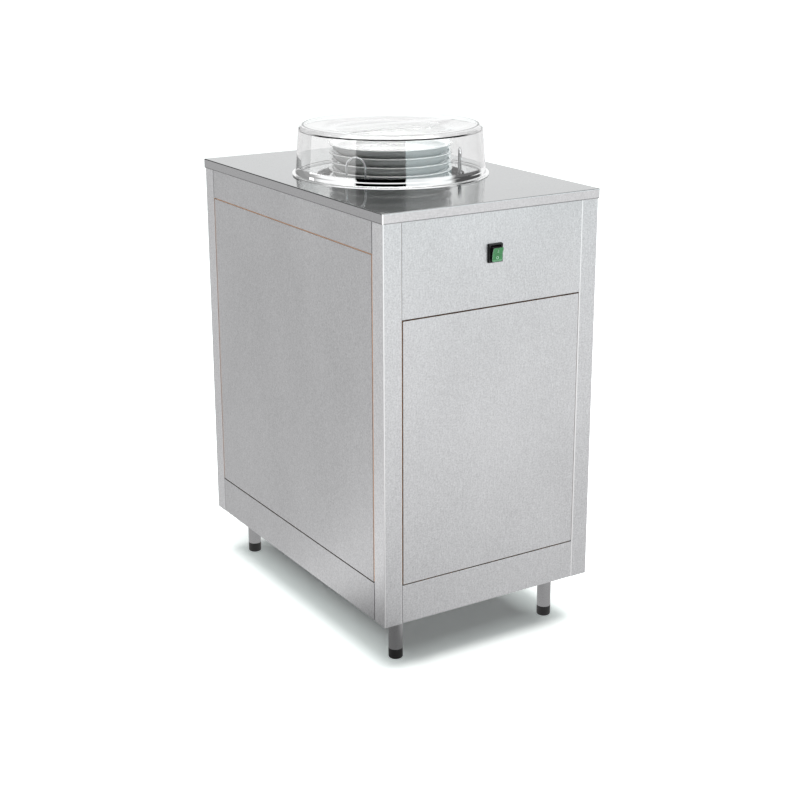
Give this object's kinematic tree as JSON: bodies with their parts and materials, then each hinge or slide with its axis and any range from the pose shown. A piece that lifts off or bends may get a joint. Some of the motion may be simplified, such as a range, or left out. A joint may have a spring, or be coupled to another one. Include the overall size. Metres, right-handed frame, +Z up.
{
  "type": "plate warmer cabinet",
  "caption": "Floor-standing heated plate dispenser in brushed stainless steel: a boxed cabinet on round legs, a spring-lifted plate well under a clear round cover, and a lit rocker switch.",
  "frame": {"origin": "centre of the worktop footprint at floor level", "axes": "+Z up, -Y towards the user at the switch side, +X to the right seen from the switch side"},
  "size_m": [0.46, 0.7206, 0.944],
  "materials": {
    "stainless_steel": "fine brushed stainless sheet, satin",
    "galvanised_steel": "plain pressed sheet steel",
    "bright_wire": "bright plated wire",
    "spring_steel": "oiled spring wire",
    "zinc_steel": "zinc plated",
    "heater_sheath": "heat darkened sheath",
    "mineral_wool": "loose fibre blanket",
    "board_core": "pressed wood board with a brown sealed edge",
    "black_plastic": "moulded, satin",
    "black_foot": "black satin coat over a steel pad and stem",
    "green_plastic": "moulded, glossy, lit from behind",
    "pale_plastic": "moulded, plain",
    "dark_phenolic": "moulded, plain",
    "clear_plastic": "clear moulded cover, polished",
    "ceramic": "white glaze"
  },
  "bodies": {
    "cabinet": {"base_rail_back": "stainless_steel", "base_rail_front": "stainless_steel", "base_rail_left": "stainless_steel", "base_rail_right": "stainless_steel", "control_fascia": "stainless_steel", "floor_pan": "stainless_steel", "guide_brackets": "galvanised_steel", "guide_rods": "bright_wire", "heater_element": "heater_sheath", "infill_board_back": "board_core", "infill_board_front": "board_core", "infill_board_left": "board_core", "infill_board_right": "board_core", "infill_face_back": "stainless_steel", "infill_face_front": "stainless_steel", "infill_face_left": "stainless_steel", "infill_face_right": "stainless_steel", "leg_back_left": "stainless_steel", "leg_back_right": "stainless_steel", "leg_bolts": "zinc_steel", "leg_front_left": "stainless_steel", "leg_front_right": "stainless_steel", "leg_inserts": "black_plastic", "lift_springs": "spring_steel", "panel_clips": "zinc_steel", "post_back_left": "stainless_steel", "post_back_right": "stainless_steel", "post_front_left": "stainless_steel", "post_front_right": "stainless_steel", "ring_screws": "zinc_steel", "supply_gland": "black_plastic", "switch_housing": "black_plastic", "terminal_block": "pale_plastic", "thermostat": "dark_phenolic", "top_rail_back": "stainless_steel", "top_rail_left": "stainless_steel", "top_rail_right": "stainless_steel", "well_can": "galvanised_steel", "well_insulation": "mineral_wool", "well_ring": "galvanised_steel", "well_tube": "galvanised_steel", "wire_guide_left": "bright_wire", "wire_guide_rear": "bright_wire", "wire_guide_right": "bright_wire", "worktop_board": "board_core", "worktop_skin": "stainless_steel"},
    "lid": {"lid": "clear_plastic"},
    "rocker": {"switch_rocker": "green_plastic"},
    "carrier": {"carrier_platform": "galvanised_steel", "carrier_frame": "galvanised_steel", "carrier_bushes": "pale_plastic"},
    "plate_1": {"plate_1": "ceramic"},
    "plate_2": {"plate_2": "ceramic"},
    "plate_3": {"plate_3": "ceramic"},
    "plate_4": {"plate_4": "ceramic"},
    "plate_5": {"plate_5": "ceramic"},
    "foot_front_left": {"foot_front_left": "black_foot"},
    "foot_front_right": {"foot_front_right": "black_foot"},
    "foot_back_left": {"foot_back_left": "black_foot"},
    "foot_back_right": {"foot_back_right": "black_foot"}
  },
  "joints": [
    {"name": "lid_lift", "type": "slide", "parent": "cabinet", "child": "lid", "axis": [0, 0, 1], "range_m": [0, 0.3]},
    {"name": "rocker_tilt", "type": "hinge", "parent": "cabinet", "child": "rocker", "pos_m": [0, -0.348, 0.758], "axis": [1, 0, 0], "range_deg": [-20, 0]},
    {"name": "carrier_slide", "type": "slide", "parent": "cabinet", "child": "carrier", "axis": [0, 0, 1], "range_m": [-0.4, 0], "stiffness_N_per_m": 480, "springref_m": 0.16, "deforming": ["lift_springs"]},
    {"name": "plate_1_lift", "type": "slide", "parent": "carrier", "child": "plate_1", "axis": [0, 0, 1], "range_m": [0, 0.015]},
    {"name": "plate_2_lift", "type": "slide", "parent": "plate_1", "child": "plate_2", "axis": [0, 0, 1], "range_m": [0, 0.015]},
    {"name": "plate_3_lift", "type": "slide", "parent": "plate_2", "child": "plate_3", "axis": [0, 0, 1], "range_m": [0, 0.015]},
    {"name": "plate_4_lift", "type": "slide", "parent": "plate_3", "child": "plate_4", "axis": [0, 0, 1], "range_m": [0, 0.015]},
    {"name": "plate_5_lift", "type": "slide", "parent": "plate_4", "child": "plate_5", "axis": [0, 0, 1], "range_m": [0, 0.015]},
    {"name": "foot_front_left_screw", "type": "slide", "parent": "cabinet", "child": "foot_front_left", "axis": [0, 0, -1], "range_m": [0, 0.025]},
    {"name": "foot_front_right_screw", "type": "slide", "parent": "cabinet", "child": "foot_front_right", "axis": [0, 0, -1], "range_m": [0, 0.025]},
    {"name": "foot_back_left_screw", "type": "slide", "parent": "cabinet", "child": "foot_back_left", "axis": [0, 0, -1], "range_m": [0, 0.025]},
    {"name": "foot_back_right_screw", "type": "slide", "parent": "cabinet", "child": "foot_back_right", "axis": [0, 0, -1], "range_m": [0, 0.025]}
  ]
}
